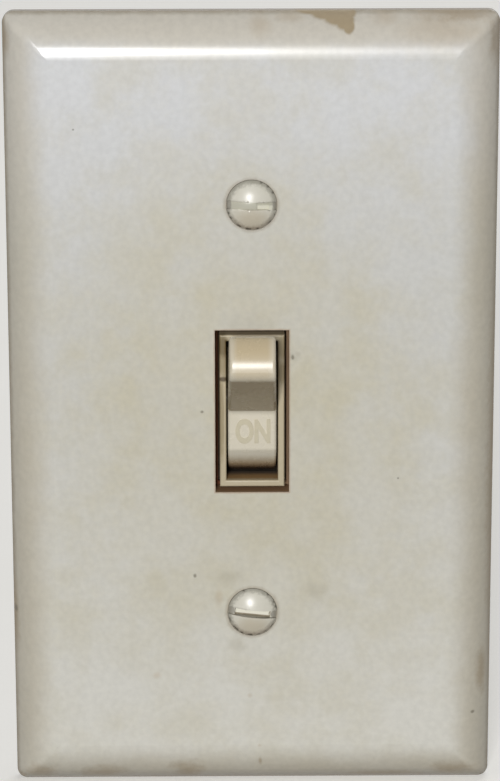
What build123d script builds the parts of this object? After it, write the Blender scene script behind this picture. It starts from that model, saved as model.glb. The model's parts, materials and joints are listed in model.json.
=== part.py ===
from build123d import *
import os
from math import asin, atan2, cos, hypot, radians, sin, sqrt, tan

# Toggle light switch behind a one-gang wall plate, in millimetres.
# The origin is the centre of the plate in the wall plane. +Z is up and +X is right.
# The room is at -Y, and the switch body stands at +Y, inside the wall box.
# It is at rest in ON, with the lever up.

# Wall plate
plate_w = 69.85
plate_h = 114.3
plate_depth = 5.6
plate_wall = 2.3
rim_wall = 1.9
border_w = 6.4
border_drop = 3.9
plate_corner_r = 1.6
plate_opening_w = 10.6
plate_opening_h = 24.0
opening_rib_t = 1.2
plate_boss_d = 9.6
cross_rib_t = 1.0
cross_rib_h = 0.9
cross_rib_z = 20.5

# Plate screws, oval head, number 6
plate_screw_pitch = 60.325
thread_d = 3.505
plate_screw_len = 12.7
head_d = 7.1
head_angle = 82.0
head_land = 0.15
dome_h = 1.14
slot_w = 1.1
slot_depth = 1.45
slot_turn_top = 1.8
slot_turn_bottom = 6.0
tip_chamfer = 0.5

# Box screws, low round head, with their fibre retainers
box_screw_pitch = 83.34
box_screw_len = 25.4
box_head_d = 6.9
box_head_h = 1.5
box_head_edge = 0.5
box_slot_depth = 0.8
neck_d = 2.9
retainer_t = 0.5
retainer_side = 9.5
retainer_corner_r = 1.0

# Mounting strap
strap_t = 1.2
strap_w = 17.0
strap_end_gap = 2.05
ear_w = 19.6
ear_len = 17.0
ear_corner_r = 3.2
box_slot_w = 4.0
box_slot_len = 7.2
score_depth = 0.35
score_x = 6.6
tapped_boss_d = 6.2
tapped_boss_h = 1.0
tab_w = 7.4
tab_len = 10.0
tab_gap = 1.3

# Switch housing: a front cover and a rear base
housing_w = 24.0
housing_h = 50.0
cover_depth = 7.0
base_depth = 18.0
housing_corner_r = 1.6
base_wall = 1.8
base_floor = 2.0
end_block = 6.4
guard_rib_t = 1.0
guard_rib_out = 2.4
post_arm_t = 4.0
stop_rib_t = 2.0
collar_w = 9.3
collar_h = 22.5
collar_sink = 0.3
collar_edge_r = 0.25
slot_open_w = 7.4
slot_open_h = 20.6

# Rivets
rivet_d = 3.0
rivet_head_d = 5.2
rivet_head_h = 0.7
rivet_tube_wall = 0.5
rivet_bore_depth = 2.7

# Toggle lever
pivot_depth = 8.0
throw_half = 31.5
facet_stand = 0.83
lever_reach = 20.6
lever_tip_t = 6.2
lever_taper = 6.5
tip_crown_r = 5.0
lever_w = 6.95
lever_tip_w = 6.5
tip_edge_r = 1.5
side_edge_r = 0.45
root_fillet_r = 1.0
barrel_r = 10.35
facet_edge_r = 0.7
barrel_back_angle = 100.0
stem_t = 5.2
stem_reach = 8.0
trunnion_d = 3.5
trunnion_len = 1.45

# Spring and plunger in the stem
plunger_d = 3.0
plunger_reach = 10.5
plunger_len = 5.5
spring_wire_d = 0.45
spring_turns = 6
bore_depth = 10.0

# Contact rocker
rocker_pivot_reach = 15.0
rocker_half_throw = 6.0
rocker_w = 5.0
rocker_t = 1.2
cup_wall = 1.0
cup_half_angle = 58.0
hub_d = 3.6
pin_d = 1.6
contact_arm = 11.0
contact_arm_end = 2.4
stop_arm = 11.5

# Contacts and terminals
contact_d = 3.2
moving_contact_h = 0.9
contact_shank_d = 1.6
contact_bevel_w = 0.4
contact_bevel_h = 0.3
contact_upset_d = 2.6
contact_upset_h = 0.5
contact_upset_bevel = 0.2
terminal_t = 1.2
ear_t = 1.1
ear_half_w = 2.6
terminal_z = 12.0
terminal_plate_w = 9.0
terminal_plate_top = 9.5
strip_w = 4.6
terminal_screw_d = 4.17
terminal_head_d = 7.6
terminal_head_h = 2.0
terminal_bevel_w = 0.8
terminal_bevel_h = 0.9
terminal_slot_depth = 1.16
terminal_screw_len = 6.5
terminal_screw_y = 14.0
ground_screw_len = 7.0

# Clearances
running_fit = 0.05
screw_fit = 0.05
rest_gap = 0.3
slide_gap = 0.1
cup_gap = 0.15
barrel_gap = 0.35
through_gap = 0.3
match_slack = 0.01

# Places worked out from the sizes above
face_y = -plate_depth
inner_face_y = face_y + plate_wall
strap_front_y = -strap_t
strap_len = plate_h - 2 * (rim_wall + strap_end_gap)
pivot_y = face_y + pivot_depth
collar_y = face_y + collar_sink
base_y = cover_depth
back_y = cover_depth + base_depth
floor_y = back_y - base_floor
plate_screw_z = plate_screw_pitch / 2
box_screw_z = box_screw_pitch / 2
rivet_z = (housing_h - end_block) / 2
cavity_half_h = housing_h / 2 - end_block
rocker_y = pivot_y + rocker_pivot_reach
strip_y = floor_y - terminal_t
side_x = housing_w / 2
ground_z = -(housing_h / 2 + tab_gap + tab_w / 2)
ground_y = strap_front_y + tab_len - tab_w / 2
rest_tilt = rocker_half_throw

# Sketch planes: across and out to the room, up and out to the room, and a view of the side
PLAN = Plane(origin=(0, 0, 0), x_dir=(1, 0, 0), z_dir=(0, 0, -1))
UPRIGHT = Plane(origin=(0, 0, 0), x_dir=(0, 0, 1), z_dir=(1, 0, 0))
SIDE = Plane(origin=(0, 0, 0), x_dir=(0, 1, 0), z_dir=(1, 0, 0))
FRONT = Plane(origin=(0, 0, 0), x_dir=(1, 0, 0), z_dir=(0, -1, 0))


def block(x0, x1, y0, y1, z0, z1):
    """A box between two corners."""
    middle = ((x0 + x1) / 2, (y0 + y1) / 2, (z0 + z1) / 2)
    return Pos(*middle) * Box(x1 - x0, y1 - y0, z1 - z0)


def slab(sketch, y0, y1):
    """A front-view sketch made solid from depth y0 to the deeper y1."""
    return extrude(Pos(0, y1, 0) * (FRONT * sketch), amount=y1 - y0)


def side_slab(sketch, width):
    """A side-view sketch made solid, as wide each side of the middle."""
    return extrude(SIDE * sketch, amount=width / 2, both=True)


def rod(diameter, y0, y1, x=0.0, z=0.0):
    """A round bar along Y."""
    return Pos(x, (y0 + y1) / 2, z) * Rot(90, 0, 0) * Cylinder(diameter / 2, y1 - y0)


def cross_rod(diameter, x0, x1, y, z):
    """A round bar along X."""
    return Pos((x0 + x1) / 2, y, z) * Rot(0, 90, 0) * Cylinder(diameter / 2, x1 - x0)


def turned(points):
    """A solid turned about Y from its half outline, given as radius and depth."""
    outline = make_face(Polyline(*points, close=True))
    return revolve(outline, axis=Axis.Y)


def capped(crown_y, points):
    """A turned solid with a round cap from its crown on the axis down to the first point."""
    edge_r, edge_y = points[0]
    rise = edge_y - crown_y
    sphere_r = (edge_r**2 + rise**2) / (2 * rise)
    half_turn = asin(edge_r / sphere_r) / 2
    middle = (sphere_r * sin(half_turn), crown_y + sphere_r * (1 - cos(half_turn)))
    with BuildSketch() as outline:
        with BuildLine():
            ThreePointArc((0, crown_y), middle, points[0])
            Polyline(*points, (0, crown_y))
        make_face()
    return revolve(outline.sketch, axis=Axis.Y)


def domed_section(span, depth, setback, radius):
    """Section of a plate whose borders are rounded: across, and out to the room."""
    flat_u = span / 2 - setback
    centre_v = depth - radius
    edge_v = centre_v + sqrt(radius**2 - setback**2)
    half_turn = asin(setback / radius) / 2
    mid_u = flat_u + radius * sin(half_turn)
    mid_v = centre_v + radius * cos(half_turn)
    with BuildSketch() as section:
        with BuildLine():
            Line((flat_u, depth), (-flat_u, depth))
            ThreePointArc((-flat_u, depth), (-mid_u, mid_v), (-span / 2, edge_v))
            Polyline((-span / 2, edge_v), (-span / 2, 0), (span / 2, 0), (span / 2, edge_v))
            ThreePointArc((span / 2, edge_v), (mid_u, mid_v), (flat_u, depth))
        make_face()
    return section.sketch


def domed_block(width, height, depth, setback, radius):
    """A plate with rounded borders that meet in mitred corners."""
    across = extrude(PLAN * domed_section(width, depth, setback, radius), amount=height / 2, both=True)
    upright = extrude(UPRIGHT * domed_section(height, depth, setback, radius), amount=width / 2, both=True)
    return across & upright


def corner_edges(dome):
    """The upright edges at a domed block's corners, and the mitres that run on from them."""
    box = dome.bounding_box()
    found = [e for e in dome.edges() if e.geom_type == GeomType.ELLIPSE]
    for edge in dome.edges():
        middle = edge.center()
        if abs(abs(middle.X) - box.max.X) < match_slack and abs(abs(middle.Z) - box.max.Z) < match_slack:
            found.append(edge)
    return found


def oval_head_seat(gap):
    """Radius and depth of the tapered seat under an oval head, from the plate's face."""
    rise = (head_d - thread_d) / 2 / tan(radians(head_angle / 2))
    return head_d / 2 + gap, head_land + rise


def wall_plate():
    border_r = (border_w**2 + border_drop**2) / (2 * border_drop)
    hollow_r = border_r - plate_wall
    hollow_setback = min(border_w - rim_wall, hollow_r)
    hollow_trim = 2 * (border_w - hollow_setback)
    outer = domed_block(plate_w, plate_h, plate_depth, border_w, border_r)
    outer = fillet(corner_edges(outer), plate_corner_r)
    hollow = domed_block(
        plate_w - hollow_trim, plate_h - hollow_trim, plate_depth - plate_wall, hollow_setback, hollow_r
    )
    plate = outer - hollow
    rib_y = strap_front_y - rest_gap
    rib_w = plate_opening_w + 2 * opening_rib_t
    rib_h = plate_opening_h + 2 * opening_rib_t
    plate += slab(Rectangle(rib_w, rib_h), inner_face_y - plate_wall / 2, rib_y)
    half_w = plate_w / 2 - border_w
    rib_end_y = inner_face_y + cross_rib_h
    for side in (-1, 1):
        low, high = sorted((side * cross_rib_z, side * (cross_rib_z + cross_rib_t)))
        plate += block(-half_w, half_w, inner_face_y - plate_wall / 2, rib_end_y, low, high)
    plate -= slab(Rectangle(plate_opening_w, plate_opening_h), face_y - 1, rib_y + 1)
    seat_r, seat_depth = oval_head_seat(slide_gap)
    hole_r = thread_d / 2 + through_gap / 2
    seat = turned([(0, -1), (seat_r, -1), (seat_r, head_land), (hole_r, seat_depth), (0, seat_depth)])
    for side in (-1, 1):
        screw_z = side * plate_screw_z
        plate += rod(plate_boss_d, inner_face_y - plate_wall / 2, strap_front_y, z=screw_z)
        plate -= Pos(0, face_y, screw_z) * seat
        plate -= rod(2 * hole_r, face_y - 1, 1, z=screw_z)
    return plate


def plate_screw(screw_z, slot_turn):
    head_r, cone_end = oval_head_seat(0)
    thread_r = thread_d / 2
    outline = [(head_r, 0), (head_r, head_land), (thread_r, cone_end)]
    outline += [(thread_r, plate_screw_len - tip_chamfer)]
    outline += [(thread_r - tip_chamfer, plate_screw_len), (0, plate_screw_len)]
    screw = capped(-dome_h, outline)
    slot = Pos(0, -dome_h, 0) * Rot(0, slot_turn, 0) * Box(head_d + 1, 2 * slot_depth, slot_w)
    return Pos(0, face_y, screw_z) * (screw - slot)


def box_screw(screw_z):
    head_r = box_head_d / 2
    thread_r = thread_d / 2
    neck_end = strap_t + retainer_t
    outline = [(head_r, -box_head_edge), (head_r, 0), (neck_d / 2, 0), (neck_d / 2, neck_end)]
    outline += [(thread_r, neck_end)]
    outline += [(thread_r, box_screw_len - tip_chamfer), (thread_r - tip_chamfer, box_screw_len)]
    outline += [(0, box_screw_len)]
    slot = Pos(0, -box_head_h, 0) * Box(box_head_d + 1, 2 * box_slot_depth, slot_w)
    return Pos(0, strap_front_y, screw_z) * (capped(-box_head_h, outline) - slot)


def screw_retainer(screw_z):
    sheet = RectangleRounded(retainer_side, retainer_side, retainer_corner_r)
    sheet -= Circle(neck_d / 2 + screw_fit)
    return Pos(0, 0, screw_z) * slab(sheet, 0, retainer_t)


def mounting_strap():
    tab_x = -strap_w / 2 - rest_gap
    outline = Rectangle(strap_w, strap_len - ear_len)
    for side in (-1, 1):
        ear_z = side * (strap_len - ear_len) / 2
        outline += Pos(0, ear_z) * RectangleRounded(ear_w, ear_len, ear_corner_r)
        outline -= Pos(0, side * box_screw_z) * SlotOverall(box_slot_len, box_slot_w)
        outline -= Pos(0, side * plate_screw_z) * Circle(thread_d / 2 + screw_fit)
        outline -= Pos(0, side * rivet_z) * Circle(rivet_d / 2 + screw_fit)
    outline -= Rectangle(collar_w + 2 * rest_gap, collar_h + 2 * rest_gap)
    strap = slab(outline, strap_front_y, 0)
    for side in (-1, 1):
        ring = Circle(tapped_boss_d / 2) - Circle(thread_d / 2 + screw_fit)
        strap += Pos(0, 0, side * plate_screw_z) * slab(ring, 0, tapped_boss_h)
        for hand in (-1, 1):
            # Scored lines let the ears be broken off.
            groove = Rot(0, 0, 45) * Box(score_depth * sqrt(2), score_depth * sqrt(2), ear_len + 2)
            strap -= Pos(hand * score_x, 0, side * (strap_len - ear_len) / 2) * groove
    low = ground_z - tab_w / 2
    high = ground_z + tab_w / 2
    strap += block(tab_x, tab_x + strap_t, strap_front_y, strap_front_y + tab_len, low, high)
    strap += block(tab_x, -strap_w / 2 + strap_t, strap_front_y, 0, low, high)
    strap -= cross_rod(terminal_screw_d + 2 * screw_fit, tab_x - 1, tab_x + strap_t + 1, ground_y, ground_z)
    return strap


def housing_outline():
    return RectangleRounded(housing_w, housing_h, housing_corner_r)


def switch_cover():
    cover = slab(housing_outline(), 0, cover_depth)
    cover += slab(Rectangle(collar_w, collar_h), collar_y, 0)
    cover -= block(
        -slot_open_w / 2, slot_open_w / 2, collar_y - 1, pivot_y, -slot_open_h / 2, slot_open_h / 2
    )
    pocket_r = barrel_r + barrel_gap
    cover -= cross_rod(2 * pocket_r, -slot_open_w / 2, slot_open_w / 2, pivot_y, 0)
    front_edges = cover.edges().filter_by(lambda e: abs(e.center().Y - collar_y) < match_slack)
    cover = fillet(front_edges, collar_edge_r)
    bearing_x = lever_w / 2 + trunnion_len + rest_gap
    bearing_r = trunnion_d / 2 + running_fit
    cover -= cross_rod(2 * bearing_r, -bearing_x, bearing_x, pivot_y, 0)
    cover -= block(-bearing_x, bearing_x, pivot_y, cover_depth + 1, -bearing_r, bearing_r)
    for side in (-1, 1):
        cover -= rod(rivet_d + 2 * screw_fit, -1, cover_depth + 1, z=side * rivet_z)
    return cover


def terminal_window(sign):
    """Where a terminal strip passes the base's side wall."""
    half = strip_w / 2 + slide_gap
    low = sign * terminal_z - half
    high = sign * terminal_z + half
    return block(side_x - base_wall - 1, side_x + 1, strip_y - slide_gap, floor_y, low, high)


def switch_base():
    base = slab(housing_outline(), base_y, back_y)
    cavity_w = housing_w - 2 * base_wall
    base -= block(-cavity_w / 2, cavity_w / 2, base_y - 1, floor_y, -cavity_half_h, cavity_half_h)
    post_x = slot_open_w / 2 + slide_gap
    post_end = lever_w / 2 + trunnion_len
    post_half = trunnion_d / 2 + running_fit - slide_gap
    post_top = pivot_y + trunnion_d / 2 + running_fit
    for hand in (-1, 1):
        # A post holds each trunnion in its bearing, on an arm from the side wall.
        near, far = sorted((hand * post_x, hand * post_end))
        base += block(near, far, post_top, base_y + post_arm_t, -post_half, post_half)
        near, far = sorted((hand * post_x, hand * side_x))
        base += block(near, far, base_y, base_y + post_arm_t, -post_half, post_half)
    # A rib stops the rocker's upper arm in OFF.
    swing = radians(rocker_half_throw)
    stop_face = rocker_y + stop_arm * sin(swing) + rocker_t / 2 * cos(swing) + slide_gap
    stop_foot = floor_y + base_floor / 2
    base += block(-rocker_w / 2, rocker_w / 2, stop_face, stop_foot, stop_arm - stop_rib_t, stop_arm)
    for sign in (-1, 1):
        base -= terminal_window(sign)
        base -= rod(rivet_d + 2 * screw_fit, base_y - 1, back_y + 1, z=sign * rivet_z)
        hole_d = terminal_screw_d + 2 * through_gap
        base -= cross_rod(hole_d, side_x - base_wall - 1, side_x + 1, terminal_screw_y, sign * terminal_z)
        for edge in (-1, 1):
            near = sign * terminal_z + edge * (terminal_plate_w / 2 + rest_gap)
            low, high = sorted((near, near + edge * guard_rib_t))
            rib_x = side_x + guard_rib_out
            base += block(side_x - base_wall / 2, rib_x, base_y + guard_rib_t, back_y, low, high)
    return base


def housing_rivet(height):
    """A rivet through the strap, cover and base, with its hollow end flared at the back."""
    head_r = rivet_head_d / 2
    shank_r = rivet_d / 2
    bore_r = shank_r - rivet_tube_wall
    bevel = rivet_head_h / 2
    front = strap_front_y - rivet_head_h
    tail = back_y + rivet_head_h
    outline = [(0, front), (head_r - bevel, front), (head_r, front + bevel), (head_r, strap_front_y)]
    outline += [(shank_r, strap_front_y), (shank_r, back_y), (head_r - bevel, back_y)]
    outline += [(head_r - 2 * bevel, tail), (bore_r, tail), (bore_r, tail - rivet_bore_depth)]
    outline += [(0, tail - rivet_bore_depth)]
    return Pos(0, 0, height) * turned(outline)


def lever_sketch():
    """Side view of the lever about its pivot: out along the lever, then across it."""
    tip_h = lever_tip_t / 2
    tip_s = tip_corner()
    facet_out, facet_in = facet_ends()
    back = radians(barrel_back_angle)
    back_s = barrel_r * cos(back)
    back_t = barrel_r * sin(back)
    out_angle = atan2(facet_out[1], facet_out[0])
    mid_angle = (out_angle + back) / 2
    mid = (barrel_r * cos(mid_angle), barrel_r * sin(mid_angle))
    stem_h = stem_t / 2
    with BuildSketch() as sketch:
        with BuildLine():
            ThreePointArc((tip_s, -tip_h), (lever_reach, 0), (tip_s, tip_h))
            Polyline((tip_s, tip_h), facet_in, facet_out)
            ThreePointArc(facet_out, mid, (back_s, back_t))
            Polyline((back_s, back_t), (back_s, stem_h), (-stem_reach, stem_h), (-stem_reach, -stem_h))
            Polyline((-stem_reach, -stem_h), (back_s, -stem_h), (back_s, -back_t))
            ThreePointArc((back_s, -back_t), (mid[0], -mid[1]), (facet_out[0], -facet_out[1]))
            Polyline((facet_out[0], -facet_out[1]), (facet_in[0], -facet_in[1]), (tip_s, -tip_h))
        make_face()
        corners = ((tip_s, tip_h), facet_in, facet_out)
        for (s, t), radius in zip(corners, (tip_edge_r, root_fillet_r, facet_edge_r)):
            pair = [v for v in sketch.vertices() if hypot(v.X - s, abs(v.Y) - t) < match_slack]
            fillet(pair, radius)
    return sketch.sketch


def tip_corner():
    """How far out the lever's sides reach before its rounded end begins."""
    return lever_reach - tip_crown_r + sqrt(tip_crown_r**2 - (lever_tip_t / 2) ** 2)


def facet_ends():
    """Outer and inner end of the facet that lies parallel to the wall, in the lever's own frame."""
    throw = radians(throw_half)
    facet_height = facet_stand + pivot_depth
    outer_z = sqrt(barrel_r**2 - facet_height**2)
    out_s = facet_height * cos(throw) - outer_z * sin(throw)
    out_t = facet_height * sin(throw) + outer_z * cos(throw)
    # The facet runs along (sin, -cos) of the throw, inward, until it meets the lever's side.
    taper = tan(radians(lever_taper))
    side_h = lever_tip_t / 2 + tip_corner() * taper
    run = (out_t - side_h + out_s * taper) / (cos(throw) - sin(throw) * taper)
    return (out_s, out_t), (out_s + run * sin(throw), out_t - run * cos(throw))


def at_rest(solid):
    """Turns a piece from the lever's own frame to its place, with the lever up."""
    return Pos(0, pivot_y, 0) * Rot(-throw_half, 0, 0) * solid


def lever_frame(sketch, width):
    """A lever-frame sketch made solid: out along the lever is -Y before it is turned to rest."""
    plane = Plane(origin=(0, 0, 0), x_dir=(0, -1, 0), z_dir=(-1, 0, 0))
    return extrude(plane * sketch, amount=width / 2, both=True)


def toggle_lever():
    lever = lever_frame(lever_sketch(), lever_w)
    # The lever narrows a little towards its tip.
    root_s = facet_ends()[1][0]
    half_root = lever_w / 2
    half_tip = lever_tip_w / 2
    wide = 2 * barrel_r
    with BuildSketch() as flank:
        with BuildLine():
            Polyline(
                (-half_root, wide), (half_root, wide), (half_root, -root_s), (half_tip, -lever_reach),
                (-half_tip, -lever_reach), (-half_root, -root_s), close=True
            )
        make_face()
    lever &= extrude(flank.sketch, amount=2 * barrel_r, both=True)
    outer_edges = lever.edges().filter_by(lambda e: e.center().Y < -root_s - side_edge_r)
    lever = fillet([e for e in outer_edges if abs(e.center().X) > half_tip - side_edge_r / 4], side_edge_r)
    lever += cross_rod(trunnion_d, -lever_w / 2 - trunnion_len, lever_w / 2 + trunnion_len, 0, 0)
    lever -= rod(plunger_d + 2 * slide_gap, stem_reach - bore_depth, stem_reach + 1)
    return at_rest(lever)


def spring_plunger():
    tail = plunger_reach - plunger_len
    body = rod(plunger_d, tail, plunger_reach)
    return at_rest(body + Pos(0, plunger_reach, 0) * Sphere(plunger_d / 2))


def toggle_spring():
    start = stem_reach - bore_depth + slide_gap
    end = plunger_reach - plunger_len - slide_gap
    coil_r = plunger_d / 2 - spring_wire_d / 2
    height = end - start - spring_wire_d
    path = Helix(pitch=height / spring_turns, height=height, radius=coil_r)
    wire = sweep(Plane(origin=path @ 0, z_dir=path % 0) * Circle(spring_wire_d / 2), path=path)
    wire = Pos(0, start + spring_wire_d / 2, 0) * Rot(-90, 0, 0) * wire
    return at_rest(wire)


def cup_arc():
    """Depth of the centre, and radius, of the path that the plunger's ball takes over the rocker."""
    throw = radians(throw_half)
    tilt = radians(rocker_half_throw)
    y = plunger_reach * cos(throw) - rocker_pivot_reach
    z = plunger_reach * sin(throw)
    end_y = y * cos(tilt) - z * sin(tilt)
    end_z = y * sin(tilt) + z * cos(tilt)
    mid_y = plunger_reach - rocker_pivot_reach
    centre = (mid_y**2 - end_y**2 - end_z**2) / (2 * (mid_y - end_y))
    return centre, mid_y - centre


def tilted(solid):
    """Turns a piece from the level rocker's frame to its place in ON."""
    return Pos(0, rocker_y, 0) * Rot(rest_tilt, 0, 0) * solid


def rocker_cup(y_centre, radius):
    """Side view of the cup that the plunger's ball rides in."""
    half = radians(cup_half_angle)
    inner = radius
    outer = radius + cup_wall
    with BuildSketch() as cup:
        with BuildLine():
            ThreePointArc(
                (y_centre + inner * cos(half), -inner * sin(half)), (y_centre + inner, 0),
                (y_centre + inner * cos(half), inner * sin(half))
            )
            Line(
                (y_centre + inner * cos(half), inner * sin(half)),
                (y_centre + outer * cos(half), outer * sin(half))
            )
            ThreePointArc(
                (y_centre + outer * cos(half), outer * sin(half)), (y_centre + outer, 0),
                (y_centre + outer * cos(half), -outer * sin(half))
            )
            Line(
                (y_centre + outer * cos(half), -outer * sin(half)),
                (y_centre + inner * cos(half), -inner * sin(half))
            )
        make_face()
    return cup.sketch


def contact_rocker():
    centre, path_r = cup_arc()
    cup_r = path_r + plunger_d / 2 + cup_gap
    cup_bottom = centre + cup_r + cup_wall / 2
    arm_len = contact_arm + contact_arm_end + stop_arm
    arm_mid = (stop_arm - contact_arm - contact_arm_end) / 2
    outline = rocker_cup(centre, cup_r)
    outline += Pos(cup_bottom / 2, 0) * Rectangle(-cup_bottom, hub_d)
    outline += Circle(hub_d / 2)
    outline += Pos(0, arm_mid) * Rectangle(rocker_t, arm_len)
    outline -= Circle(pin_d / 2 + running_fit)
    rocker = side_slab(outline, rocker_w)
    rocker -= rod(contact_shank_d + 2 * running_fit, -rocker_t, rocker_t, z=-contact_arm)
    return tilted(rocker)


def moving_contact():
    face = rocker_t / 2 + moving_contact_h
    head_r = contact_d / 2
    shank_r = contact_shank_d / 2
    upset_r = contact_upset_d / 2
    upset_end = -rocker_t / 2 - contact_upset_h
    outline = [(0, upset_end), (upset_r - contact_upset_bevel, upset_end), (upset_r, -rocker_t / 2)]
    outline += [(shank_r, -rocker_t / 2), (shank_r, rocker_t / 2), (head_r, rocker_t / 2)]
    outline += [(head_r, face - contact_bevel_h), (head_r - contact_bevel_w, face), (0, face)]
    return tilted(Pos(0, 0, -contact_arm) * turned(outline))


def contact_face_y():
    """Depth of the moving contact's face, on its axis, with the switch ON."""
    tilt = radians(rest_tilt)
    return rocker_y + contact_arm * sin(tilt) + (rocker_t / 2 + moving_contact_h) * cos(tilt)


def contact_z():
    """Height of the contacts when they meet."""
    tilt = radians(rest_tilt)
    return -contact_arm * cos(tilt) + (rocker_t / 2 + moving_contact_h) * sin(tilt)


def fixed_contact():
    face = contact_face_y() + slide_gap + contact_d / 2 * sin(radians(rest_tilt))
    head_r = contact_d / 2
    shank_r = contact_shank_d / 2
    outline = [(0, face), (head_r - contact_bevel_w, face), (head_r, face + contact_bevel_h)]
    outline += [(head_r, strip_y)]
    outline += [(shank_r, strip_y), (shank_r, floor_y), (0, floor_y)]
    return Pos(0, 0, contact_z()) * turned(outline)


def rocker_pin():
    half = rocker_w / 2 + rest_gap + ear_t + rest_gap
    return cross_rod(pin_d, -half, half, rocker_y, 0)


def side_plate(sign):
    """The outside plate of a terminal, on the base's right side, with its tapped hole."""
    middle = sign * terminal_z
    low = middle - terminal_plate_w / 2
    high = middle + terminal_plate_w / 2
    plate = block(side_x, side_x + terminal_t, terminal_plate_top, floor_y, low, high)
    hole_d = terminal_screw_d + 2 * screw_fit
    return plate - cross_rod(hole_d, side_x - 1, side_x + terminal_t + 1, terminal_screw_y, middle)


def strip_to_side(start_x, sign):
    """The strip of a terminal, from inside the base out to its side plate."""
    low = sign * terminal_z - strip_w / 2
    return block(start_x, side_x + terminal_t, strip_y, floor_y, low, low + strip_w)


def line_terminal():
    strip = strip_to_side(-strip_w / 2, -1)
    strip -= rod(contact_shank_d + 2 * running_fit, strip_y - 1, floor_y + 1, z=contact_z())
    return side_plate(-1) + strip


def load_terminal():
    leg_x = rocker_w / 2 + rest_gap + ear_t
    strip = strip_to_side(leg_x, 1)
    strip += block(leg_x, leg_x + strip_w, strip_y, floor_y, -ear_half_w, terminal_z)
    strip += block(-leg_x, leg_x + 1, strip_y, floor_y, -ear_half_w, ear_half_w)
    for hand in (-1, 1):
        near, far = sorted((hand * (leg_x - ear_t), hand * leg_x))
        strip += block(near, far, rocker_y, strip_y, -ear_half_w, ear_half_w)
        strip += cross_rod(2 * ear_half_w, near, far, rocker_y, 0)
        strip -= cross_rod(pin_d + 2 * running_fit, near - 1, far + 1, rocker_y, 0)
    return side_plate(1) + strip


def binding_screw(length):
    """A flat binding-head screw along Y, its head under the origin at -Y."""
    head_r = terminal_head_d / 2
    thread_r = terminal_screw_d / 2
    outline = [(0, -terminal_head_h), (head_r - terminal_bevel_w, -terminal_head_h)]
    outline += [(head_r, terminal_bevel_h - terminal_head_h), (head_r, 0), (thread_r, 0)]
    outline += [(thread_r, length - tip_chamfer)]
    outline += [(thread_r - tip_chamfer, length), (0, length)]
    slot = Pos(0, -terminal_head_h, 0) * Box(terminal_head_d + 1, 2 * terminal_slot_depth, slot_w)
    return turned(outline) - slot


def terminal_screw(sign):
    seat = Pos(side_x + terminal_t + rest_gap, terminal_screw_y, sign * terminal_z)
    return seat * Rot(0, 0, 90) * binding_screw(terminal_screw_len)


def ground_screw():
    seat_x = -strap_w / 2 - rest_gap - rest_gap
    return Pos(seat_x, ground_y, ground_z) * Rot(0, 0, -90) * binding_screw(ground_screw_len)


nodes = {
    "wall_plate": wall_plate(),
    "plate_screw_top": plate_screw(plate_screw_z, slot_turn_top),
    "plate_screw_bottom": plate_screw(-plate_screw_z, slot_turn_bottom),
    "mounting_strap": mounting_strap(),
    "box_screw_top": box_screw(box_screw_z),
    "box_screw_bottom": box_screw(-box_screw_z),
    "screw_retainer_top": screw_retainer(box_screw_z),
    "screw_retainer_bottom": screw_retainer(-box_screw_z),
    "switch_cover": switch_cover(),
    "switch_base": switch_base(),
    "housing_rivet_top": housing_rivet(rivet_z),
    "housing_rivet_bottom": housing_rivet(-rivet_z),
    "toggle_lever": toggle_lever(),
    "toggle_spring": toggle_spring(),
    "spring_plunger": spring_plunger(),
    "contact_rocker": contact_rocker(),
    "rocker_pin": rocker_pin(),
    "moving_contact": moving_contact(),
    "fixed_contact": fixed_contact(),
    "line_terminal": line_terminal(),
    "load_terminal": load_terminal(),
    "terminal_screw_line": terminal_screw(-1),
    "terminal_screw_load": terminal_screw(1),
    "ground_screw": ground_screw(),
}

os.makedirs("parts", exist_ok=True)
for name, solid in nodes.items():
    export_step(solid, f"parts/{name}.step")
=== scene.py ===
import json
import math

import bpy
from mathutils import Matrix, Vector

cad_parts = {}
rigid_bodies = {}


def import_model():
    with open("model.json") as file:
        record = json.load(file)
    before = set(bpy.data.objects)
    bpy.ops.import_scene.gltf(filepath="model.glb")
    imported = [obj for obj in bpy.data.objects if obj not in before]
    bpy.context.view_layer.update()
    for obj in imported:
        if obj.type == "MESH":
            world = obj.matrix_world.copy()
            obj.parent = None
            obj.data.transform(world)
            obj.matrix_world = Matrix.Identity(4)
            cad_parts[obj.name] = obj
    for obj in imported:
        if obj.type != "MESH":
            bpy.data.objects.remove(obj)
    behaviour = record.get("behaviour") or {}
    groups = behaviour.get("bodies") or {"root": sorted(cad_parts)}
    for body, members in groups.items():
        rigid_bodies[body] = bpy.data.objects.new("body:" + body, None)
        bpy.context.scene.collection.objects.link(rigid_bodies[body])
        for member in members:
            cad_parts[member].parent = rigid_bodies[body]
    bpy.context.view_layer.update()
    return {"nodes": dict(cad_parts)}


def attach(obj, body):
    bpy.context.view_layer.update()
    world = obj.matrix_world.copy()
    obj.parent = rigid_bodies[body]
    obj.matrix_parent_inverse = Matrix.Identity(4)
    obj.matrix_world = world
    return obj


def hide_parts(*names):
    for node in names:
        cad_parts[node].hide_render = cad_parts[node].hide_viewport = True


MM = 0.001

# Sizes on the real switch, in millimetres. Y runs into the wall, whose surface is at 0.
PLATE_H = 114.3
PLATE_SCREW_Z = 60.325 / 2
BOX_SCREW_Z = 83.34 / 2
FLOOR_Z = -PLATE_H / 2
FACE_Y = -5.6
COLLAR_Y = -5.3
STRAP_FRONT_Y = -1.2
PIVOT_Y = 2.4
FACET_Y = -6.43
FACET_Z = -2.85

# A plate screw's domed head and its slot. The two slots' turns are in degrees.
DOME_R = 6.1
DOME_RISE = 1.14
DOME_EDGE_Y = -5.62
ENAMEL_END_Y = -3.6
SLOT_HALF = 0.55
SLOT_FLOOR_Y = -5.29
TOP_SLOT_TURN = 1.8
BOTTOM_SLOT_TURN = 6.0

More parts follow.
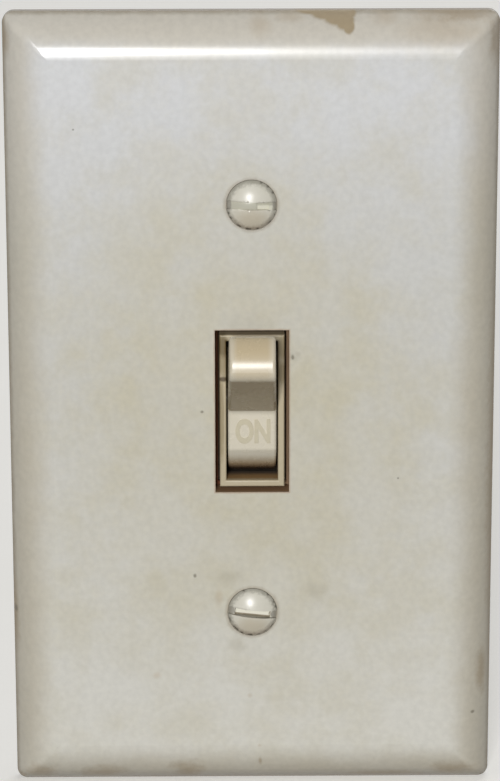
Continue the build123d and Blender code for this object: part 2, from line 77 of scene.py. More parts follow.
# The screws' threads, and the depths where each kind starts and ends.
THREAD_R = 1.7525
THREAD_PITCH = 0.794
PLATE_THREAD = (-3.0, 7.1)
BOX_THREAD = (0.45, 24.2)

# The lever's throw, and its directions in ON: out along it, and across its two broad faces.
THROW = math.radians(63)
LEVER_OUT = (0, -math.cos(THROW / 2), math.sin(THROW / 2))
LEVER_ACROSS = (0, math.sin(THROW / 2), math.cos(THROW / 2))

# Stains are given by x, z, half width and half height in millimetres. First a brown mark on the top border.
BROWN_TOOTH = (
    (8.8, 57.3, 3.2, 0.8),
    (10.4, 57.0, 2.8, 1.2),
    (11.9, 56.5, 2.3, 1.5),
    (13.0, 56.0, 1.7, 1.6),
    (13.6, 55.2, 1.0, 1.3),
    (13.5, 57.0, 1.5, 1.2),
)
# Brown seepage from behind the plate, along its borders and in its mitred corners, and painted shade at its
# foot.
SEEPAGE_AND_SHADE = (
    (29.0, 56.8, 8.0, 1.4),
    (34.4, 53.0, 1.5, 5.0),
    (-34.6, 53.5, 1.0, 3.6),
    (-34.7, -31.0, 0.9, 8.0),
    (-34.3, -56.6, 1.4, 1.2),
    (-31.2, -55.4, 3.0, 2.4),
    (-22.0, -55.8, 5.0, 2.2),
    (-9.6, -55.4, 3.4, 2.8),
    (1.1, -53.4, 0.4, 1.0),
    (20.0, -56.3, 9.0, 1.3),
    (29.5, -55.2, 4.5, 2.0),
    (33.6, -40.0, 1.3, 5.0),
    (34.8, -10.0, 1.4, 40.0),
    # A strip the length of the bottom edge: painted shade under the plate.
    (0.0, -57.4, 60.0, 1.3),
)
# Tan smudges, faint patches, dark specks, and a dark ring round each screw head.
SMUDGES = (
    (1.2, 55.4, 2.2, 2.6),
    (5.4, 56.4, 3.0, 1.2),
    (18.6, 56.4, 2.6, 1.8),
    (27.0, 54.6, 9.0, 3.4),
    (-4.9, -27.9, 0.9, 2.2),
    (-14.0, -39.8, 0.9, 0.7),
    (-0.4, -43.0, 0.6, 0.6),
    (1.0, -50.8, 0.5, 0.4),
)
FAINT_PATCHES = (
    (-3.4, -24.9, 3.6, 2.0),
    (9.2, -27.0, 2.6, 2.2),
    (-2.3, -35.2, 1.8, 1.8),
    (5.7, 8.05, 0.9, 0.85),
    (6.5, 8.5, 0.6, 0.6),
)
SPECKS = (
    (5.8, 8.0, 0.28, 0.5),
    (-7.18, 0.0, 0.4, 0.34),
    (-8.34, -24.6, 0.36, 0.44),
    (32.36, -46.1, 0.44, 0.36),
    (-25.0, 41.0, 0.22, 0.2),
    (21.0, -10.0, 0.22, 0.25),
    (-34.6, -30.4, 0.4, 0.8),
)
SCREW_SEATS = ((0, PLATE_SCREW_Z, 4.25, 4.25), (0, -PLATE_SCREW_Z, 4.25, 4.25))

# Stains on the collar: grease down its sides, a dark block at its upper left, and a dark tick below that.
COLLAR_GREASE_AND_SHADE = (
    # Beside the lever's upper part these are partly painted shade, and on the right partly the lever's
    # painted shadow.
    (-4.2, 8.0, 1.5, 4.2),
    (-4.4, -1.0, 0.55, 9.0),
    (4.45, 9.4, 1.0, 2.4),
    (4.3, 5.6, 0.7, 2.4),
)
COLLAR_BLOCK = ((-4.15, 9.6, 1.1, 2.0),)
COLLAR_DARK_TICK = ((-4.15, 4.75, 0.95, 0.5),)

# Dirt caked over the ends of the plate screws' slots.
SLOT_ENDS = (
    (-3.3, PLATE_SCREW_Z + 0.05, 0.5, 0.95),
    (3.35, PLATE_SCREW_Z - 0.05, 0.45, 0.9),
    (-3.15, 0.33 - PLATE_SCREW_Z, 0.7, 0.75),
    (3.2, -0.33 - PLATE_SCREW_Z, 0.66, 0.7),
)

# Each layer of stains, some of it painted shade, lowest first: its spots, softness, raggedness, strength and
# shade.
PLATE_STAINS = (
    (BROWN_TOOTH, 0.4, 0.3, 0.85, "#A3906E"),
    (SEEPAGE_AND_SHADE, 0.9, 1.2, 0.5, "#97805C"),
    (SMUDGES, 0.95, 0.9, 0.3, "#B09A78"),
    (FAINT_PATCHES, 0.95, 1.0, 0.2, "#8E8468"),
    (SPECKS, 0.8, 0.8, 0.7, "#6E6858"),
    (SCREW_SEATS, 0.16, 0.2, 0.42, "#8B7A5E"),
)
COLLAR_STAINS_AND_SHADE = (
    (COLLAR_GREASE_AND_SHADE, 0.6, 0.6, 0.65, "#837350"),
    (COLLAR_BLOCK, 0.5, 0.5, 0.9, "#6A5A38"),
    (COLLAR_DARK_TICK, 0.6, 0.4, 0.9, "#4A3A22"),
)

# Old paint and dirt in the slots: depth below the dome, left end and right end, in millimetres.
TOP_FILLINGS = ((0.16, -3.5, 0.7), (0.6, 0.6, 2.6), (0.3, 2.4, 3.52))
BOTTOM_FILLINGS = ((0.35, -3.52, -2.6), (0.35, 2.6, 3.52))

bpy.ops.object.select_all(action="SELECT")
bpy.ops.object.delete()
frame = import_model()


def linear(hex_colour):
    """An sRGB hex colour as the linear values that Blender works in."""
    channels = [int(hex_colour[i : i + 2], 16) / 255 for i in (1, 3, 5)]
    curve = [c / 12.92 if c <= 0.04045 else ((c + 0.055) / 1.055) ** 2.4 for c in channels]
    return (*curve, 1.0)


def per_mm(size):
    """Texture scale that makes one feature of a pattern this many millimetres across."""
    return 1 / (size * MM)


def add(tree, kind, inputs=None, **settings):
    """Adds a node with its settings, and sets or links its sockets."""
    node = tree.nodes.new(kind)
    for name, value in settings.items():
        setattr(node, name, value)
    for name, value in (inputs or {}).items():
        if isinstance(value, bpy.types.NodeSocket):
            tree.links.new(value, node.inputs[name])
        else:
            node.inputs[name].default_value = value
    return node


def new_material(name):
    """An empty material, its node tree, and the piece's own coordinates in it."""
    material = bpy.data.materials.new(name)
    material.use_nodes = True
    tree = material.node_tree
    tree.nodes.clear()
    place = add(tree, "ShaderNodeTexCoord").outputs["Object"]
    return material, tree, place


def finish_material(tree, surface, relief=None, height=0.1, strength=1.0):
    """Puts the shader on the output, with its relief in millimetres if it has one."""
    shader = add(tree, "ShaderNodeBsdfPrincipled", surface)
    if relief is not None:
        bump = add(tree, "ShaderNodeBump", {"Height": relief, "Distance": height * MM, "Strength": strength})
        tree.links.new(bump.outputs["Normal"], shader.inputs["Normal"])
    add(tree, "ShaderNodeOutputMaterial", {"Surface": shader.outputs["BSDF"]})


def clouded_skin(tree, place, size, shades, gloss, detail=5, grain=0.6):
    """Soft clouds, sized in mm, which shift a skin between two shades and between two roughnesses."""
    noise = {"Vector": place, "Scale": per_mm(size), "Detail": detail, "Roughness": grain}
    clouds = add(tree, "ShaderNodeTexNoise", noise).outputs["Fac"]
    pale, dark = shades
    colour = add(
        tree, "ShaderNodeMix", {0: clouds, 6: linear(pale), 7: linear(dark)}, data_type="RGBA"
    ).outputs[2]
    smooth, rough = gloss
    limits = {"Value": clouds, "From Min": 0.3, "From Max": 0.7, "To Min": smooth, "To Max": rough}
    roughness = add(tree, "ShaderNodeMapRange", limits).outputs["Result"]
    return clouds, colour, roughness


def ragged_edge(tree, place, size):
    """Fine noise about zero, which breaks up the outline of a stain. Size in mm."""
    noise = {"Vector": place, "Scale": per_mm(size), "Detail": 5, "Roughness": 0.7}
    fine = add(tree, "ShaderNodeTexNoise", noise).outputs["Fac"]
    return add(tree, "ShaderNodeMath", {0: fine, 1: 0.5}, operation="SUBTRACT").outputs[0]


def stains(tree, place, edge, spots, soft, ragged, strength):
    """Stains seen from the front, full at the middle and fading out. Spots are x, z and half sizes in mm."""
    mask = None
    for x, z, half_w, half_h in spots:
        centre = (x * MM, 0, z * MM)
        shrink = (per_mm(half_w), 0, per_mm(half_h))
        offset = add(tree, "ShaderNodeVectorMath", {0: place, 1: centre}, operation="SUBTRACT").outputs[0]
        flat = add(tree, "ShaderNodeVectorMath", {0: offset, 1: shrink}, operation="MULTIPLY").outputs[0]
        reach = add(tree, "ShaderNodeVectorMath", {0: flat}, operation="LENGTH").outputs["Value"]
        rim = add(tree, "ShaderNodeMath", {0: edge, 1: ragged, 2: reach}, operation="MULTIPLY_ADD").outputs[0]
        spot = add(
            tree,
            "ShaderNodeMapRange",
            {"Value": rim, "From Min": 1 - soft, "From Max": 1.0, "To Min": strength, "To Max": 0.0},
            interpolation_type="SMOOTHSTEP",
        ).outputs["Result"]
        if mask is None:
            mask = spot
        else:
            mask = add(tree, "ShaderNodeMath", {0: mask, 1: spot}, operation="MAXIMUM").outputs[0]
    return mask


def stained(tree, place, edge, colour, layers):
    """A colour with layers of stains over it, some of which are painted shade."""
    for spots, soft, ragged, strength, shade in layers:
        mask = stains(tree, place, edge, spots, soft, ragged, strength)
        colour = add(
            tree, "ShaderNodeMix", {0: mask, 6: colour, 7: linear(shade)}, data_type="RGBA"
        ).outputs[2]
    return colour


def within_frame(tree, place, edge, half_w, half_h, soft, waver):
    """1 inside an upright rectangle about the plate's middle, and 0 outside it. All sizes are in mm."""
    beyond = []
    away = add(tree, "ShaderNodeVectorMath", {0: place}, operation="ABSOLUTE").outputs[0]
    axes = add(tree, "ShaderNodeSeparateXYZ", {0: away}).outputs
    for axis, half in (("X", half_w), ("Z", half_h)):
        past = add(tree, "ShaderNodeMath", {0: axes[axis], 1: half * MM}, operation="SUBTRACT").outputs[0]
        beyond.append(past)
    out = add(tree, "ShaderNodeMath", {0: beyond[0], 1: beyond[1]}, operation="MAXIMUM").outputs[0]
    uneven = add(
        tree, "ShaderNodeMath", {0: edge, 1: waver * MM, 2: out}, operation="MULTIPLY_ADD"
    ).outputs[0]
    return add(
        tree,
        "ShaderNodeMapRange",
        {"Value": uneven, "From Min": -soft * MM, "From Max": soft * MM, "To Min": 1.0, "To Max": 0.0},
        interpolation_type="SMOOTHSTEP",
    ).outputs["Result"]


def yellowed_face(tree, place, clouds, broad, painted_top_sheen, axes):
    """The plate's face: yellow round the opening where hands have been, painted sheen at the top, painted
    light low down.
    """
    handled = stains(tree, place, broad, ((0, -3, 42, 50),), soft=0.85, ragged=1.1, strength=0.62)
    patchy = add(
        tree,
        "ShaderNodeMapRange",
        {"Value": clouds, "From Min": 0.36, "From Max": 0.7, "To Max": 0.4},
        interpolation_type="SMOOTHSTEP",
    ).outputs["Result"]
    yellowed = add(
        tree, "ShaderNodeMath", {0: handled, 1: patchy}, operation="ADD", use_clamp=True
    ).outputs[0]
    # Painted light: paler and warmer towards the bottom, to even out the lamp's fall-off.
    painted_low_light = add(
        tree, "ShaderNodeMapRange", {"Value": axes["Z"], "From Min": 5 * MM, "From Max": -48 * MM}
    ).outputs["Result"]
    clean = add(
        tree, "ShaderNodeMix", {0: painted_low_light, 6: linear("#D2D2CF"), 7: linear("#DBD9D0")}, data_type="RGBA"
    ).outputs[2]
    # Painted sheen: whiter at the top.
    clean = add(tree, "ShaderNodeMix", {0: painted_top_sheen, 6: clean, 7: linear("#DADBDC")}, data_type="RGBA").outputs[2]
    return add(
        tree, "ShaderNodeMix", {0: yellowed, 6: clean, 7: linear("#CAC4AE")}, data_type="RGBA"
    ).outputs[2]


def paler_border(tree, border, painted_top_sheen, axes):
    """The plate's rounded borders, painted paler along the upper left as light and along the top as sheen."""
    # Painted light: paler towards the upper left, the lamp's side.
    painted_light_upper_left = add(
        tree, "ShaderNodeMapRange", {"Value": axes["X"], "From Min": -20 * MM, "From Max": -33 * MM}
    ).outputs["Result"]
    rising = add(
        tree,
        "ShaderNodeMapRange",
        {"Value": axes["Z"], "From Min": -5 * MM, "From Max": 30 * MM, "To Min": 0.12, "To Max": 0.8},
    ).outputs["Result"]
    painted_light_upper_left = add(tree, "ShaderNodeMath", {0: painted_light_upper_left, 1: rising}, operation="MULTIPLY").outputs[0]
    border = add(
        tree, "ShaderNodeMix", {0: painted_light_upper_left, 6: border, 7: linear("#C9C5B8")}, data_type="RGBA"
    ).outputs[2]
    # Painted sheen: paler along the top.
    paler = add(tree, "ShaderNodeMath", {0: painted_top_sheen, 1: 0.65}, operation="MULTIPLY").outputs[0]
    return add(
        tree, "ShaderNodeMix", {0: paler, 6: border, 7: linear("#D9D4CA")}, data_type="RGBA"
    ).outputs[2]


def aged_urea():
    """Compression-moulded urea: hard and satin, with the yellowing and grime of decades on a wall, and
    painted sheen and shade.
    """
    material, tree, place = new_material("moulded_urea_aged")
    clouds, border, gloss = clouded_skin(tree, place, 9, ("#CCC7B9", "#C0B8A5"), (0.2, 0.26), grain=0.62)
    edge = ragged_edge(tree, place, size=2.2)
    broad = ragged_edge(tree, place, size=24)
    depth = add(
        tree, "ShaderNodeVectorMath", {0: place, 1: (0, 1, 0)}, operation="DOT_PRODUCT"
    ).outputs["Value"]
    axes = add(tree, "ShaderNodeSeparateXYZ", {0: place}).outputs
    # Where the top of the plate gets its painted sheen.
    painted_top_sheen = add(
        tree, "ShaderNodeMapRange", {"Value": axes["Z"], "From Min": 24 * MM, "From Max": 46 * MM}
    ).outputs["Result"]

    # The rounded borders are browner and darker than the face, in part painted shade where they turn from the
    # light.
    face = yellowed_face(tree, place, clouds, broad, painted_top_sheen, axes)
    border = paler_border(tree, border, painted_top_sheen, axes)
    on_face = within_frame(tree, place, broad, half_w=30.2, half_h=52.4, soft=2.4, waver=5.0)
    colour = add(tree, "ShaderNodeMix", {0: on_face, 6: border, 7: face}, data_type="RGBA").outputs[2]

    # The rim against the wall is brown all round, partly dirt, partly painted shade; the foot has more
    # painted shade.
    inside_dirty_shaded_rim = within_frame(tree, place, edge, half_w=34.6, half_h=56.85, soft=0.4, waver=0.5)
    colour = add(
        tree, "ShaderNodeMix", {0: inside_dirty_shaded_rim, 6: linear("#9B907C"), 7: colour}, data_type="RGBA"
    ).outputs[2]
    painted_shade_at_foot = add(
        tree,
        "ShaderNodeMapRange",
        {"Value": axes["Z"], "From Min": -55.0 * MM, "From Max": -56.6 * MM, "To Max": 0.5},
    ).outputs["Result"]
    colour = add(
        tree, "ShaderNodeMix", {0: painted_shade_at_foot, 6: colour, 7: linear("#8F8577")}, data_type="RGBA"
    ).outputs[2]
    colour = stained(tree, place, edge, colour, PLATE_STAINS)

    # Grime lies along the opening's edge, and thickly on the walls inside it.
    by_opening = within_frame(tree, place, edge, half_w=5.46, half_h=12.16, soft=0.14, waver=0.4)
    inside = add(
        tree,
        "ShaderNodeMapRange",
        {"Value": depth, "From Min": (FACE_Y + 0.02) * MM, "From Max": (FACE_Y + 0.5) * MM, "To Min": 0.55},
    ).outputs["Result"]
    grime = add(tree, "ShaderNodeMath", {0: by_opening, 1: inside}, operation="MULTIPLY").outputs[0]
    colour = add(
        tree, "ShaderNodeMix", {0: grime, 6: colour, 7: linear("#9A7856")}, data_type="RGBA"
    ).outputs[2]

    # The moulding powder's own fleck shows faintly all over.
    noise = {"Vector": place, "Scale": per_mm(0.9), "Detail": 2, "Roughness": 0.5}
    fleck = add(tree, "ShaderNodeTexNoise", noise).outputs["Fac"]
    tone = add(
        tree,
        "ShaderNodeMapRange",
        {"Value": fleck, "From Min": 0.3, "From Max": 0.7, "To Min": 0.96, "To Max": 1.035},
    ).outputs["Result"]
    colour = add(tree, "ShaderNodeVectorMath", {0: colour, "Scale": tone}, operation="SCALE").outputs[0]
    gloss = add(tree, "ShaderNodeMath", {0: grime, 1: 0.5, 2: gloss}, operation="MULTIPLY_ADD").outputs[0]
    finish_material(
        tree, {"Base Color": colour, "Roughness": gloss, "IOR": 1.52}, edge, height=0.02, strength=0.3
    )
    return material


def handled_lever():
    """Ivory urea, polished by fingers: its end yellow, its broad faces grey, and dust and painted shade at
    its root.
    """
    material, tree, place = new_material("moulded_urea_lever")
    clouds, colour, gloss = clouded_skin(tree, place, 2.6, ("#DDD6C6", "#D1C9B3"), (0.24, 0.3))
    edge = ragged_edge(tree, place, size=0.9)
    pivot = (0, PIVOT_Y * MM, 0)
    local = add(tree, "ShaderNodeVectorMath", {0: place, 1: pivot}, operation="SUBTRACT").outputs[0]
    out = add(
        tree, "ShaderNodeVectorMath", {0: local, 1: LEVER_OUT}, operation="DOT_PRODUCT"
    ).outputs["Value"]
    across = add(
        tree, "ShaderNodeVectorMath", {0: local, 1: LEVER_ACROSS}, operation="DOT_PRODUCT"
    ).outputs["Value"]

    # The end is yellow, more so towards its upper edge; its sides stay paler, a painted highlight on the
    # rounded edges.
    near_end = add(
        tree,
        "ShaderNodeMapRange",
        {"Value": out, "From Min": 17.6 * MM, "From Max": 20.2 * MM, "To Max": 0.8},
        interpolation_type="SMOOTHSTEP",
    ).outputs["Result"]
    upper = add(
        tree,
        "ShaderNodeMapRange",
        {"Value": across, "From Min": -3.0 * MM, "From Max": 0.5 * MM, "To Min": 0.55, "To Max": 1.0},
    ).outputs["Result"]
    yellowed = add(tree, "ShaderNodeMath", {0: near_end, 1: upper}, operation="MULTIPLY").outputs[0]
    rightward = add(
        tree, "ShaderNodeVectorMath", {0: place, 1: (1, 0, 0)}, operation="DOT_PRODUCT"
    ).outputs["Value"]
    aside = add(tree, "ShaderNodeMath", {0: rightward}, operation="ABSOLUTE").outputs[0]
    yellow_off_painted_highlight = add(
        tree,
        "ShaderNodeMapRange",
        {"Value": aside, "From Min": 2.0 * MM, "From Max": 2.9 * MM, "To Min": 1.0, "To Max": 0.4},
        interpolation_type="SMOOTHSTEP",
    ).outputs["Result"]
    yellowed = add(tree, "ShaderNodeMath", {0: yellowed, 1: yellow_off_painted_highlight}, operation="MULTIPLY").outputs[0]
    colour = add(
        tree, "ShaderNodeMix", {0: yellowed, 6: colour, 7: linear("#C6B28B")}, data_type="RGBA"
    ).outputs[2]

    # The two broad faces are grey from edge to edge, the flanks rather less.
    from_root = add(
        tree,
        "ShaderNodeMapRange",
        {"Value": out, "From Min": 7.9 * MM, "From Max": 8.2 * MM, "To Max": 0.9},
        interpolation_type="SMOOTHSTEP",
    ).outputs["Result"]
    to_end = add(
        tree,
        "ShaderNodeMapRange",
        {"Value": out, "From Min": 18.1 * MM, "From Max": 18.8 * MM, "To Min": 1.0, "To Max": 0.0},
        interpolation_type="SMOOTHSTEP",
    ).outputs["Result"]
    facing = add(tree, "ShaderNodeTexCoord").outputs["Normal"]
    sideways = add(
        tree, "ShaderNodeVectorMath", {0: facing, 1: (1, 0, 0)}, operation="DOT_PRODUCT"
    ).outputs["Value"]
    flank = add(tree, "ShaderNodeMath", {0: sideways}, operation="ABSOLUTE").outputs[0]
    broad_face = add(
        tree,
        "ShaderNodeMapRange",
        {"Value": flank, "From Min": 0.9, "From Max": 0.995, "To Min": 1.0, "To Max": 0.7},
        interpolation_type="SMOOTHSTEP",
    ).outputs["Result"]
    greyed_faces = add(tree, "ShaderNodeMath", {0: from_root, 1: to_end}, operation="MULTIPLY").outputs[0]
    greyed_faces = add(tree, "ShaderNodeMath", {0: greyed_faces, 1: broad_face}, operation="MULTIPLY").outputs[0]
    colour = add(
        tree, "ShaderNodeMix", {0: greyed_faces, 6: colour, 7: linear("#8C7E65")}, data_type="RGBA"
    ).outputs[2]

    # Beyond the facets the barrel turns into the housing: tan with its dust, then near black with painted
    # shade.
    ragged_reach = add(tree, "ShaderNodeMath", {0: edge, 1: 1.4 * MM, 2: out}, operation="MULTIPLY_ADD").outputs[0]
    for until, strength, shade in ((3.8, 0.7, "#A5875C"), (1.9, 0.95, "#38210F")):
        dust_and_shade_on_barrel = add(
            tree,
            "ShaderNodeMapRange",
            {
                "Value": ragged_reach,
                "From Min": (until - 3.0) * MM,
                "From Max": until * MM,
                "To Min": strength,
                "To Max": 0.0,
            },
            interpolation_type="SMOOTHSTEP",
        ).outputs["Result"]
        colour = add(
            tree, "ShaderNodeMix", {0: dust_and_shade_on_barrel, 6: colour, 7: linear(shade)}, data_type="RGBA"
        ).outputs[2]
    finish_material(
        tree, {"Base Color": colour, "Roughness": gloss, "IOR": 1.62}, clouds, height=0.008, strength=0.4
    )
    return material


def raised_letter_urea():
    """The lever's own urea on its raised letters, greyer than the facet."""
    material, tree, place = new_material("moulded_urea_letters")
    shades = ("#D2CAB2", "#BFB69C")
    clouds, colour, gloss = clouded_skin(tree, place, 0.8, shades, (0.28, 0.4), detail=4)
    finish_material(
        tree, {"Base Color": colour, "Roughness": gloss, "IOR": 1.52}, clouds, height=0.02, strength=0.5
    )
    return material


def soiled_cover():
    """The cover's ivory urea: grease and painted shade on its collar beside the lever, dirt and painted shade
    down inside.
    """
    material, tree, place = new_material("moulded_urea_collar")
    clouds, colour, gloss = clouded_skin(tree, place, 2.2, ("#C4B89E", "#B2A587"), (0.34, 0.46))
    edge = ragged_edge(tree, place, size=1.1)
    # Stains on the collar, with painted shade and the lever's painted shadow beside it.
    colour = stained(tree, place, edge, colour, COLLAR_STAINS_AND_SHADE)

    # Dirt, with painted shade, packs down inside the collar as far as the strap. Its top ledge is almost
    # clean.
    depth = add(
        tree, "ShaderNodeVectorMath", {0: place, 1: (0, 1, 0)}, operation="DOT_PRODUCT"
    ).outputs["Value"]
    uneven = add(
        tree, "ShaderNodeMath", {0: edge, 1: 0.7 * MM, 2: depth}, operation="MULTIPLY_ADD"
    ).outputs[0]
    packed = add(
        tree,
        "ShaderNodeMapRange",
        {
            "Value": uneven,
            "From Min": (COLLAR_Y + 0.2) * MM,
            "From Max": (COLLAR_Y + 1.6) * MM,
            "To Max": 0.9,
        },
        interpolation_type="SMOOTHSTEP",
    ).outputs["Result"]
    in_front = add(
        tree,
        "ShaderNodeMapRange",
        {
            "Value": depth,
            "From Min": (STRAP_FRONT_Y + 0.2) * MM,
            "From Max": 1.2 * MM,
            "To Min": 1.0,
            "To Max": 0.0,
        },
    ).outputs["Result"]
    within = within_frame(tree, place, edge, half_w=6.0, half_h=12.0, soft=0.3, waver=0.3)
    reached = add(tree, "ShaderNodeMath", {0: in_front, 1: within}, operation="MAXIMUM").outputs[0]
    dirt_and_shade = add(tree, "ShaderNodeMath", {0: packed, 1: reached}, operation="MULTIPLY").outputs[0]
    height = add(
        tree, "ShaderNodeVectorMath", {0: place, 1: (0, 0, 1)}, operation="DOT_PRODUCT"
    ).outputs["Value"]
    ledge = add(
        tree,
        "ShaderNodeMapRange",
        {"Value": height, "From Min": 10.9 * MM, "From Max": 11.2 * MM, "To Min": 1.0, "To Max": 0.1},
    ).outputs["Result"]
    dirt_and_shade = add(tree, "ShaderNodeMath", {0: dirt_and_shade, 1: ledge}, operation="MULTIPLY").outputs[0]
    # Painted shade: deeper in, the dirt turns near black.
    deep_painted_shade = add(
        tree,
        "ShaderNodeMapRange",
        {"Value": uneven, "From Min": (COLLAR_Y + 2.6) * MM, "From Max": (COLLAR_Y + 4.2) * MM},
    ).outputs["Result"]
    soil_and_shade = add(
        tree, "ShaderNodeMix", {0: deep_painted_shade, 6: linear("#94703F"), 7: linear("#38220F")}, data_type="RGBA"
    ).outputs[2]
    colour = add(tree, "ShaderNodeMix", {0: dirt_and_shade, 6: colour, 7: soil_and_shade}, data_type="RGBA").outputs[2]
    gloss = add(tree, "ShaderNodeMath", {0: dirt_and_shade, 1: 0.5, 2: gloss}, operation="MULTIPLY_ADD").outputs[0]
    finish_material(
        tree, {"Base Color": colour, "Roughness": gloss, "IOR": 1.5}, clouds, height=0.02, strength=0.6
    )
    return material


def pale_strips(tree, place, edge):
    """The pale part of each slot: one mask for both, then for each the height across it and its own mask."""
    pale = None
    strips = []
    # The pale part starts at a height in mm and lies above it for 1, or below it for -1.
    for z, turn, edge_at, pale_from in (
        (PLATE_SCREW_Z, TOP_SLOT_TURN, 0.06, -1),
        (-PLATE_SCREW_Z, BOTTOM_SLOT_TURN, -0.36, 1),
    ):
        centre = (0, 0, z * MM)
        slant = (math.sin(math.radians(turn)), 0, math.cos(math.radians(turn)))
        local = add(tree, "ShaderNodeVectorMath", {0: place, 1: centre}, operation="SUBTRACT").outputs[0]
        over = add(
            tree, "ShaderNodeVectorMath", {0: local, 1: slant}, operation="DOT_PRODUCT"
        ).outputs["Value"]
        ends = ((edge_at - 0.06 * pale_from) * MM, (edge_at + 0.06 * pale_from) * MM)
        strip = add(
            tree, "ShaderNodeMapRange", {"Value": over, "From Min": ends[0], "From Max": ends[1]}
        ).outputs["Result"]
        middle = stains(tree, place, edge, [(0, z, 2.65, 2.65)], soft=0.12, ragged=0.3, strength=1.0)
        # In the top slot this pale strip is painted light on the floor's lower half; in the bottom one it is
        # pale paint.
        lit_and_pale = add(tree, "ShaderNodeMath", {0: middle, 1: strip}, operation="MULTIPLY").outputs[0]
        if pale is None:
            pale = lit_and_pale
        else:
            pale = add(tree, "ShaderNodeMath", {0: pale, 1: lit_and_pale}, operation="MAXIMUM").outputs[0]
        strips.append((over, strip))
    return pale, strips


def slot_paint(tree, place, colour, over, strip):
    """The paint in the top screw's slot is greyer than the head, with one pale bar on its right, painted
    light.
    """
    off_line = add(tree, "ShaderNodeMath", {0: over}, operation="ABSOLUTE").outputs[0]
    painted = add(
        tree,
        "ShaderNodeMapRange",
        {"Value": off_line, "From Min": 0.5 * MM, "From Max": 0.56 * MM, "To Min": 0.85, "To Max": 0.0},
    ).outputs["Result"]
    rightward = add(
        tree, "ShaderNodeVectorMath", {0: place, 1: (1, 0, 0)}, operation="DOT_PRODUCT"
    ).outputs["Value"]
    on_right = add(
        tree, "ShaderNodeMapRange", {"Value": rightward, "From Min": 0.62 * MM, "From Max": 0.78 * MM}
    ).outputs["Result"]
    # Painted light: a pale bar on the right of the paint.
    painted_light_bar = add(tree, "ShaderNodeMath", {0: on_right, 1: strip}, operation="MULTIPLY").outputs[0]
    paint = add(
        tree, "ShaderNodeMix", {0: painted_light_bar, 6: linear("#B9B7A6"), 7: linear("#DEDCCB")}, data_type="RGBA"
    ).outputs[2]
    return add(tree, "ShaderNodeMix", {0: painted, 6: colour, 7: paint}, data_type="RGBA").outputs[2]


def worn_enamel():
    """Baked enamel on a steel head: smooth and glossy, dark round its rim, bare steel on the thread."""
    material, tree, place = new_material("baked_enamel_on_steel")
    clouds, enamel, gloss = clouded_skin(tree, place, 1.6, ("#E2DFD4", "#D0CCBC"), (0.27, 0.33))
    edge = ragged_edge(tree, place, size=0.5)
    depth = add(
        tree, "ShaderNodeVectorMath", {0: place, 1: (0, 1, 0)}, operation="DOT_PRODUCT"
    ).outputs["Value"]

    # The lower half of each head is tan.
    heads = (PLATE_SCREW_Z, -PLATE_SCREW_Z)
    tan = stains(
        tree, place, edge, [(0, z - 2.1, 3.8, 2.7) for z in heads], soft=0.8, ragged=0.4, strength=0.8
    )
    colour = add(
        tree, "ShaderNodeMix", {0: tan, 6: enamel, 7: linear("#C3B9A4")}, data_type="RGBA"
    ).outputs[2]
    pale, (top_slot, bottom_slot) = pale_strips(tree, place, edge)

    # The bottom slot's lower wall is dirty, and the top slot is painted over.
    from_wall = add(
        tree, "ShaderNodeMath", {0: bottom_slot[0], 1: SLOT_HALF * MM}, operation="ADD"
    ).outputs[0]
    from_wall = add(tree, "ShaderNodeMath", {0: from_wall}, operation="ABSOLUTE").outputs[0]
    on_wall = add(
        tree,
        "ShaderNodeMapRange",
        {"Value": from_wall, "From Min": 0.01 * MM, "From Max": 0.03 * MM, "To Min": 0.85, "To Max": 0.0},
    ).outputs["Result"]
    colour = add(
        tree, "ShaderNodeMix", {0: on_wall, 6: colour, 7: linear("#827A68")}, data_type="RGBA"
    ).outputs[2]
    colour = slot_paint(tree, place, colour, *top_slot)

    # Each head's rim is darker, grey above and brown below.
    rim = add(
        tree, "ShaderNodeMix", {0: tan, 6: linear("#A29F92"), 7: linear("#94836F")}, data_type="RGBA"
    ).outputs[2]
    clean = stains(
        tree, place, edge, [(0, z, 3.45, 3.45) for z in heads], soft=0.22, ragged=0.3, strength=1.0
    )
    colour = add(tree, "ShaderNodeMix", {0: clean, 6: rim, 7: colour}, data_type="RGBA").outputs[2]

    # Behind the dome's edge lie the slots' floors, dirty at both ends, and behind the enamel the thread.
    # In the top slot the floor's dark part is painted shade and its pale strip painted light.
    floor = add(
        tree, "ShaderNodeMix", {0: pale, 6: linear("#8A806C"), 7: linear("#EEEBDC")}, data_type="RGBA"
    ).outputs[2]
    in_slot = add(
        tree,
        "ShaderNodeMapRange",
        {"Value": depth, "From Min": DOME_EDGE_Y * MM, "From Max": (DOME_EDGE_Y + 0.12) * MM},
    ).outputs["Result"]
    colour = add(tree, "ShaderNodeMix", {0: in_slot, 6: colour, 7: floor}, data_type="RGBA").outputs[2]
    caked = stains(tree, place, edge, SLOT_ENDS, soft=0.35, ragged=0.4, strength=0.85)
    colour = add(
        tree, "ShaderNodeMix", {0: caked, 6: colour, 7: linear("#99958A")}, data_type="RGBA"
    ).outputs[2]
    steel = add(
        tree,
        "ShaderNodeMapRange",
        {"Value": depth, "From Min": ENAMEL_END_Y * MM, "From Max": (ENAMEL_END_Y + 0.3) * MM},
    ).outputs["Result"]
    colour = add(
        tree, "ShaderNodeMix", {0: steel, 6: colour, 7: linear("#B4B6B8")}, data_type="RGBA"
    ).outputs[2]
    surface = {"Base Color": colour, "Roughness": gloss, "Metallic": steel, "IOR": 1.5}
    finish_material(tree, surface, clouds, height=0.01, strength=0.4)
    return material


